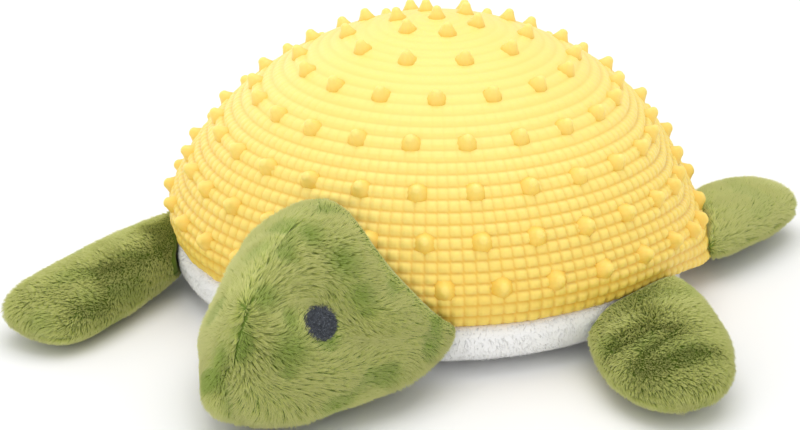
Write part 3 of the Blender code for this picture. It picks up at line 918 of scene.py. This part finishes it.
class TURTLE_OT_dome(bpy.types.Operator):
    """The moulded rubber dome with its rows of pebbles, its nubs, its rim and its sewing flange"""

    bl_idname = "turtle.dome"
    bl_label = "Rubber dome"

    def execute(self, context):
        settings = context.scene.turtle_dome
        row = np.maximum(np.arange(0, PEBBLE_ROWS * SAMPLES_PER_ROW + 1) / SAMPLES_PER_ROW, MERGE)
        radius, height = dome_outline(row)
        normals = outline_normals(radius, height)
        normals[0] = (0, 1)
        inner_radius, inner_height = dome_point(np.linspace(DOME_SIDE_ANGLE, 0, 12))
        inner_normals = outline_normals(inner_radius, inner_height)
        inner_radius = np.maximum(inner_radius + inner_normals[:, 0] * settings.wall, 0)
        inner_height = inner_height + inner_normals[:, 1] * settings.wall
        inner_radius[-1] = 0
        top = RIM_HEIGHT + FLANGE_THICKNESS
        flange = [(FLANGE_RADIUS, RIM_HEIGHT), (FLANGE_RADIUS, top), (RIM_RADIUS - settings.wall, top)]
        outline = np.array([*zip(radius, height), *flange, *zip(inner_radius, inner_height)])
        last = len(outline) - 1
        outside = len(radius)
        # pebbles stand in columns, and each band of rows has its count of them
        first_rows, band_counts = np.array(PEBBLE_BANDS).T
        counts = band_counts[np.searchsorted(first_rows, np.round(row), side="right") - 1]
        unevenness = np.random.default_rng(5).random((len(row), max(counts)))

        def crest(rows):
            """How high the pebbles of a row stand, as a share: they fade towards the crown."""
            return PEBBLE_LEAST + (1 - PEBBLE_LEAST) * smooth_step(*PEBBLE_GROWTH_ROWS, rows)

        def place(u, v):
            at = np.round(v * last).astype(int)
            angle = u * FULL_TURN
            index = np.minimum(at, outside - 1)
            column = angle / FULL_TURN * counts[index]
            across = 2 * np.abs(column % 1 - 0.5)
            down = 2 * np.abs(row[index] - np.round(row[index]))
            pillow_down = np.sqrt(np.maximum(1 - down ** PEBBLE_POWERS[0], 0))
            pillow_across = np.sqrt(np.maximum(1 - across ** PEBBLE_POWERS[1], 0))
            definition = GROOVE_LEAST + GROOVE_GROWTH * smooth_step(*GROOVE_GROWTH_ROWS, row[index])
            column = np.floor(column).astype(int) % counts[index]
            uneven = 1 + (unevenness[np.round(row[index]).astype(int), column] - 0.5) * 0.5 * definition
            relief = settings.pebble_height * crest(row[index]) * pillow_down * uneven
            relief *= 1 - definition * (1 - pillow_across)
            relief = np.where(at < outside, relief, 0)
            ring = outline[at, 0] + normals[index, 0] * relief
            level = outline[at, 1] + normals[index, 1] * relief
            return np.stack([ring * np.cos(angle), ring * np.sin(angle), level], 1)

        dome = wrapped_grid("rubber_dome", DOME_COLUMNS, last, place)
        points = points_of(dome.data)
        tree = tree_of([(r, 0, z) for r, z in zip(radius, height)])
        found = [tree.find((r, 0, z)) for r, z in zip(radii_of(points).tolist(), points[:, 2].tolist())]
        crests = crest(row)[[index for _, index, _ in found]]
        rise = np.array([distance for _, _, distance in found]) / settings.pebble_height
        # the grooves between the pebbles take the painted shade in the colour
        self.keep_relief(dome.data, np.clip(1 - (crests - rise), 0, 1))
        put_points(dome.data, sag(points))
        nubs = self.make_nubs(settings)
        material = rubber_finish(settings)
        for piece in (dome, nubs):
            dress(piece, material)
            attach(piece, "body")
        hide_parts("rubber_shell")
        return {"FINISHED"}

    def keep_relief(self, mesh, shares):
        """Keeps how near each point is to the top of its pebble or nub: the colour paints shade from it, a
        deeper ochre in the grooves and at the nubs' feet.
        """
        mesh.attributes.new("relief", "FLOAT", "POINT").data.foreach_set("value", shares)

    def make_nubs(self, settings):
        """One nub, spun from its outline and copied to each place in the rings."""
        foot, tip, tall = settings.nub_radius, settings.nub_tip_radius, settings.nub_height
        low, high = NUB_SIDE_HEIGHTS
        outline = [(foot * NUB_FLARE, -NUB_SUNK), (foot, low), ((foot + tip) / 2, high)]
        turns = np.linspace(0.15, math.pi / 2, 5)
        outline += [(tip * math.cos(turn), tall - tip + tip * math.sin(turn)) for turn in turns]
        outline[-1] = (0, tall)
        nub = spun("dome_nubs", outline[::-1], 12, close_ends=True)
        one = nub.data.copy()
        bm = bmesh.new()
        for ring, (count, turn) in enumerate(zip(NUB_RING_COUNTS, NUB_RING_TURNS)):
            angle = NUB_RING_STEP * ring
            radius, height = dome_point(angle)
            near = Vector(dome_point(max(angle - NUB_RING_STEP / 2, 0)))
            far = Vector(dome_point(angle + NUB_RING_STEP / 2))
            tilt = 0 if ring == 0 else math.atan2(-(far - near).y, (far - near).x)
            wider = 1 + NUB_WIDER_EACH_RING * ring
            for index in range(count):
                around = math.radians(turn) + FULL_TURN * index / count - math.pi / 2
                spot = Matrix.Rotation(around, 4, "Z")
                spot = spot @ Matrix.Translation((radius if ring else 0, 0, height))
                copy = one.copy()
                copy.transform(spot @ Matrix.Rotation(tilt, 4, "Y") @ Matrix.Diagonal((wider, wider, 1, 1)))
                bm.from_mesh(copy)
                bpy.data.meshes.remove(copy)
        bm.to_mesh(nub.data)
        bm.free()
        nub.data.shade_smooth()
        points = points_of(nub.data)
        level = np.clip(points[:, 2] - RIM_HEIGHT, 0, 1) / DOME_HEIGHT
        size = level ** DOME_POWER + (radii_of(points) / DOME_RADIUS) ** DOME_POWER
        above = (size ** (1 / DOME_POWER) - 1) * DOME_HEIGHT
        # the share rises from a nub's foot to its tip, so the foot takes the painted groove shade
        self.keep_relief(nub.data, np.clip(above / settings.nub_height * 1.25, 0, 1) ** 1.4)
        put_points(nub.data, sag(points))
        return nub


class TURTLE_OT_belly(bpy.types.Operator):
    """The white plush bowl under the rim, with a short pile on its side"""

    bl_idname = "turtle.belly"
    bl_label = "White belly"

    def execute(self, context):
        settings = context.scene.turtle_belly
        fabric = settings.fabric
        radius, height = belly_outline(14)
        inwards = -outline_normals(radius, height)
        top = RIM_HEIGHT - SEAT_GAP
        inner = [(r + n[0] * fabric, z + n[1] * fabric) for r, z, n in zip(radius, height, inwards)]
        inner = [point for point in inner if point[1] < top - fabric][::-1]
        outline = [(0, inner[0][1]), *inner]
        outline += [(FLANGE_RADIUS, top - fabric), (FLANGE_RADIUS, top), (RIM_RADIUS, top)]
        outline += list(zip(radius, height))
        outline += [(radius[-1] * share, 0) for share in (0.75, 0.5, 0.25)] + [(0, 0)]
        belly = spun("white_belly", outline[::-1], 144)
        # the belly sinks with the rim, and hides behind it
        points = points_of(belly.data)
        _, down = sag_moves(points)
        put_points(belly.data, shifted(points, -SAG_TUCK * down / SAG_DOWN, down))

        def keep(spots, sides):
            ring = radii_of(spots)
            outside = (spots[:, :2] * sides[:, :2]).sum(1) / ring > 0.2
            behind_head = (np.abs(spots[:, 0]) < 0.027) & (spots[:, 1] < -0.05)
            return outside & ~behind_head & (ring > FLANGE_RADIUS - 0.004) & (spots[:, 2] > 0.0004)

        def comb(spots):
            flow = np.tile((0.0, 0.0, -1.0), (len(spots), 1))
            return flow, np.interp(spots[:, 2], *BELLY_TRIM)

        spots, sides = scatter(belly.data, settings.density, 71, keep)
        pile = dict(BELLY_PILE, length=settings.length)
        strands = lay_pile("belly_pile", spots, sides, pile, comb, 72)
        lift_strands(strands.data)
        paint_pile(belly.data, (1.0, 1.0, 1.0, 1.0))
        join(belly, strands)
        white = tuple(settings.colour)
        # painted shade: the roots and the parted places are painted a touch darker than the white
        root = tuple(part * 0.97 for part in white)
        dress(belly, plush_finish("white_plush", root, white, white, root, 0.2))
        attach(belly, "body")
        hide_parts("belly_panel")
        return {"FINISHED"}


class TURTLE_OT_head(bpy.types.Operator):
    """The plush head: two cheeks that meet at the ridge, a chin panel, and the fill inside"""

    bl_idname = "turtle.head"
    bl_label = "Plush head"

    def execute(self, context):
        settings = context.scene.turtle_plush
        room = neck_room(0)
        form = head_form("head_form", settings, 0)
        fill = head_form("head_fill", settings, settings.backing + FILL_GAP)
        chin = HEAD_HEIGHT * HEAD_CHIN_SHARE
        half_seam = SEAT_GAP / 2
        level = JOINTS["head_nod"]["pos_m"][2]
        # each cut is a point, and a normal that points to what is cut away
        above_chin = (0, 0, chin + half_seam), (0, 0, -1)
        below_chin = (0, 0, chin - half_seam), (0, 0, 1)
        left = (half_seam, 0, level), (-1, 0, -HEAD_LEAN)
        right = (-half_seam, 0, level), (1, 0, HEAD_LEAN)
        panels = {
            "head_left_cheek": ([left, above_chin], 11),
            "head_right_cheek": ([right, above_chin], 31),
            "head_chin": ([below_chin], 51),
        }
        material = green_finish("green_plush", settings)
        eyes = [np.array(eye_place(form, node)[0]) for node in EYE_SHIFTS]
        pile = green_pile(settings, HEAD_PRESSED, lean_share=1, unrest=0.22, patchy=1)

        def keep(spots, sides):
            bare = np.zeros(len(spots), bool)
            for eye in eyes:
                bare |= np.linalg.norm(spots - eye, axis=1) < EYE_CLEARING
            return clear_of_room(spots, sides, room) & ~bare

        def comb(spots):
            nose = 1 - smooth_step(-0.120, -0.102, spots[:, 1])
            ridge = np.clip((spots[:, 0] + 0.007) / 0.011, -1, 1)
            flow = np.stack([ridge * 0.4, 0.9 - 1.2 * nose, -0.3 - 0.8 * nose], 1)
            neck_gap = radii_of(spots) - np.interp(spots[:, 2], *room)
            eye_gap = np.linalg.norm(spots - eyes[0], axis=1)
            share = np.interp(spots[:, 2], *FLOOR_TRIM) * np.interp(neck_gap, *NECK_TRIM)
            return flow, share * np.interp(eye_gap, *EYE_TRIM)

        for name, (planes, seed) in panels.items():
            panel = cut_panel(form, name, planes)
            finish_panel(panel, name + "_panel", settings, pile, comb, keep, material, seed)
            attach(panel, "head")
        bpy.data.objects.remove(form)
        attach(fill, "head")
        finish_fill(fill, "head_stuffing")
        return {"FINISHED"}


class TURTLE_OT_flippers(bpy.types.Operator):
    """The four stuffed flippers, each with an upper and a lower panel round a fill"""

    bl_idname = "turtle.flippers"
    bl_label = "Plush flippers"

    def execute(self, context):
        settings = context.scene.turtle_plush
        material = green_finish("flipper_plush", settings)
        for number, (name, values) in enumerate(FLIPPERS.items()):
            self.make_flipper(settings, material, name, values, 100 + 40 * number)
        return {"FINISHED"}

    def make_flipper(self, settings, material, name, values, seed):
        heading, length, width, thickness, roll, slope, root_width, root_height, tip_width = values
        pivot = Vector(JOINTS[name + "_lift"]["pos_m"])
        turn = Matrix.Rotation(math.radians(heading) + math.pi, 4, "Z")
        drop = Matrix.Translation((0, 0, -FLIPPER_ROOT_DROP)) @ Matrix.Rotation(-math.radians(slope), 4, "X")
        drop = drop @ Matrix.Rotation(math.radians(roll), 4, "Y")
        place = Matrix.Translation(pivot) @ turn @ drop
        half = thickness / 2
        sections = []
        for along, wide, thick in FLIPPER_SECTION_SHARES:
            root = float(1 - smooth_step(0.1, 0.75, np.array(along)))
            tip = float(smooth_step(0.7, 1, np.array(along)))
            side = width / 2 * wide * (1 + (root_width - 1) * root + (tip_width - 1) * tip)
            top = half * thick * (1 + (root_height - 1) * root)
            sections.append((length * along, side, top, -half * thick))

        def stuffed(part, inwards):
            shape = name + part, sections, ROUND_SHOULDERS, FLIPPER_WIDEST_SHARE, place
            return soft_form(*shape, flipper_room(settings.seat_gap + inwards), settings.draw_in + inwards)

        form = stuffed("_form", 0)
        fill = stuffed("_fill", settings.backing + FILL_GAP)
        room = flipper_room(settings.seat_gap)
        centre, up = place.translation, place.to_3x3() @ Vector((0, 0, 1))
        outward = (place.to_3x3() @ Vector((0, 1, 0))).normalized()
        pile = green_pile(settings, FLIPPER_PRESSED, lean_share=0.95, unrest=0.08, patchy=0.5)

        def keep(spots, sides):
            return clear_of_room(spots, sides, room)

        def comb(spots):
            flow = np.tile(np.array(outward), (len(spots), 1))
            flow[:, 2] -= 0.35
            return flow, np.interp(radii_of(spots), *ROOT_TRIM) * np.interp(spots[:, 2], *FLOOR_TRIM)

        for side, sign in (("upper", 1), ("lower", -1)):
            planes = [(centre + up * sign * SEAT_GAP / 2, -up * sign)]
            panel = cut_panel(form, f"{name}_{side}", planes)
            node = f"{name}_{side}_panel"
            finish_panel(panel, node, settings, pile, comb, keep, material, seed + sign)
            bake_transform(panel)
        bpy.data.objects.remove(form)
        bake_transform(fill)
        finish_fill(fill, name + "_stuffing")


class TURTLE_OT_eyes(bpy.types.Operator):
    """The two embroidered eyes: a low mound covered with short lengths of dark thread"""

    bl_idname = "turtle.eyes"
    bl_label = "Embroidered eyes"

    def execute(self, context):
        settings = context.scene.turtle_eyes
        material = thread_finish()
        form = head_form("head_form", context.scene.turtle_plush, 0)
        places = {node: eye_place(form, node) for node in EYE_SHIFTS}
        bpy.data.objects.remove(form)
        pile = dict(EYE_PILE, length=settings.thread)
        # spun, because a sphere primitive orders its faces anew in each run, and the threads follow them
        turns = np.linspace(0, math.pi, 15)
        outline = list(zip(np.sin(turns), np.cos(turns)))

        def comb(spots):
            return np.tile((0.0, 0.6, 1.0), (len(spots), 1)), np.ones(len(spots))

        for (node, (centre, outward)), seed in zip(places.items(), (301, 331)):
            mound = spun(node + "_stitching", outline, 28)
            points = points_of(mound.data) * (settings.width / 2, settings.height / 2, settings.rise)
            points[:, 2] = np.maximum(points[:, 2], -EYE_MOUND_SUNK)
            put_points(mound.data, points)
            turn = outward.to_track_quat("Z", "Y").to_matrix().to_4x4()
            mound.data.transform(Matrix.Translation(centre) @ turn)

            def keep(spots, sides, axis=np.array(outward)):
                return sides @ axis > 0

            spots, sides = scatter(mound.data, EYE_DENSITY, seed, keep)
            strands = lay_pile(node + "_threads", spots, sides, pile, comb, seed + 5)
            paint_pile(mound.data, (0.0, 0.4, 1.0, 1.0))
            join(mound, strands)
            dress(mound, material)
            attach(mound, "head")
            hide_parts(node)
        return {"FINISHED"}


class TURTLE_OT_inside(bpy.types.Operator):
    """What lies inside: the body's fill, the squeaker with its plug, and the rim's seam thread"""

    bl_idname = "turtle.inside"
    bl_label = "Inside"

    def execute(self, context):
        nodes = frame["nodes"]
        copy = add_object("body_fill", nodes["body_stuffing"].data.copy())
        pick(copy)
        bpy.ops.object.mode_set(mode="EDIT")
        bpy.ops.mesh.select_all(action="SELECT")
        bpy.ops.mesh.remove_doubles(threshold=MERGE)
        bpy.ops.object.mode_set(mode="OBJECT")
        put_points(copy.data, self.give_way(points_of(copy.data)))
        bpy.ops.object.shade_smooth()
        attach(copy, "body")
        finish_fill(copy, "body_stuffing")
        milky = plastic_finish("milky_plastic", MILKY)
        for name in ("squeaker_bulb", "squeaker_plug"):
            dress(nodes[name], milky)
        dress(nodes["rim_seam_thread"], fibre_finish("sewing_thread", SEWING_THREAD, 2400))
        return {"FINISHED"}

    def give_way(self, points):
        """The fill gives way where the dome is dented above its sunken rim and the belly is tucked in."""
        out, down = sag_moves(points)
        near_belly = 1 - smooth_step(RIM_HEIGHT, RIM_HEIGHT + FILL_TUCK_HEIGHT, points[:, 2])
        inwards = FILL_DENT * down / SAG_DOWN + SAG_TUCK * down / SAG_DOWN * near_belly
        return shifted(points, np.minimum(out, 0) - inwards, down)


class TURTLE_OT_stage(bpy.types.Operator):
    """The camera, the pale floor and the soft studio light"""

    bl_idname = "turtle.stage"
    bl_label = "Stage"

    def execute(self, context):
        scene = context.scene
        scene.view_settings.view_transform = "Standard"
        self.place_camera(scene)
        self.lay_floor()
        self.light_world(scene)
        for lamp in LAMPS:
            self.hang_lamp(*lamp)
        return {"FINISHED"}

    def place_camera(self, scene):
        camera = add_object("camera", bpy.data.cameras.new("camera"))
        data = camera.data
        data.sensor_width = SENSOR_MM
        data.lens = CAMERA_LENS_MM
        data.clip_start = 0.01
        data.shift_x = (PHOTO_WIDTH / 2 - TARGET_PIXEL[0]) / PHOTO_WIDTH
        data.shift_y = (TARGET_PIXEL[1] - PHOTO_HEIGHT / 2) / PHOTO_WIDTH
        away = Vector((
            math.sin(CAMERA_AZIMUTH) * math.cos(CAMERA_ELEVATION),
            -math.cos(CAMERA_AZIMUTH) * math.cos(CAMERA_ELEVATION),
            math.sin(CAMERA_ELEVATION),
        ))
        camera.location = Vector((0, 0, RIM_HEIGHT)) + away * CAMERA_DISTANCE
        camera.rotation_euler = (-away).to_track_quat("-Z", "Y").to_euler()
        scene.camera = camera

    def lay_floor(self):
        deselect()
        bpy.ops.mesh.primitive_plane_add(size=FLOOR_SIZE, location=(0, 0, -FLOOR_DROP))
        floor = bpy.context.object
        floor.name = "floor"
        material = new_finish("pale_floor", 0.9, Specular_IOR_Level=0.1)
        stops = [(0.2, (0.9, 0.9, 0.9)), (0.8, (0.93, 0.93, 0.93))]
        set_colour(material, add_ramp(material, object_noise(material, 3, 2), stops))
        dress(floor, material)

    def light_world(self, scene):
        """A white world that lights the turtle less strongly than the camera sees it."""
        world = bpy.data.worlds.new("studio")
        scene.world = world
        world.use_nodes = True
        background = world.node_tree.nodes["Background"]
        seen = add_node(world, "ShaderNodeLightPath").outputs["Is Camera Ray"]
        limits = {"Value": seen, "To Min": WORLD_LIGHT, "To Max": 1.0}
        strength = add_node(world, "ShaderNodeMapRange", limits).outputs["Result"]
        world.node_tree.links.new(strength, background.inputs["Strength"])
        background.inputs["Color"].default_value = (*WHITE, 1)

    def hang_lamp(self, name, place, size, power):
        lamp = add_object(name, bpy.data.lights.new(name, "AREA"))
        lamp.data.size = size
        lamp.data.energy = power
        lamp.location = place
        lamp.rotation_euler = (Vector(LAMP_TARGET) - Vector(place)).to_track_quat("-Z", "Y").to_euler()


class TURTLE_PT_panel(bpy.types.Panel):
    """Lists the turtle's pieces and their sizes and colours"""

    bl_idname = "TURTLE_PT_panel"
    bl_label = "Plush Turtle"
    bl_space_type = "VIEW_3D"
    bl_region_type = "UI"
    bl_category = "Turtle"

    def draw(self, context):
        layout = self.layout
        for operator in OPERATORS:
            layout.operator(operator.bl_idname)
        for name, group in SETTINGS.items():
            box = layout.box()
            for key in group.__annotations__:
                box.prop(getattr(context.scene, name), key)


SETTINGS = {
    "turtle_dome": DomeSettings,
    "turtle_belly": BellySettings,
    "turtle_plush": PlushSettings,
    "turtle_eyes": EyeSettings,
}
OPERATORS = (
    TURTLE_OT_dome,
    TURTLE_OT_belly,
    TURTLE_OT_head,
    TURTLE_OT_flippers,
    TURTLE_OT_eyes,
    TURTLE_OT_inside,
    TURTLE_OT_stage,
)


def register():
    for cls in (*SETTINGS.values(), *OPERATORS, TURTLE_PT_panel):
        bpy.utils.register_class(cls)
    for name, group in SETTINGS.items():
        setattr(bpy.types.Scene, name, PointerProperty(type=group))


def unregister():
    for name in SETTINGS:
        delattr(bpy.types.Scene, name)
    for cls in reversed((*SETTINGS.values(), *OPERATORS, TURTLE_PT_panel)):
        bpy.utils.unregister_class(cls)


def main():
    register()
    bpy.ops.turtle.dome()
    bpy.ops.turtle.belly()
    bpy.ops.turtle.head()
    bpy.ops.turtle.flippers()
    bpy.ops.turtle.eyes()
    bpy.ops.turtle.inside()
    bpy.ops.turtle.stage()
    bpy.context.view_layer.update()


if __name__ == "__main__":
    main()
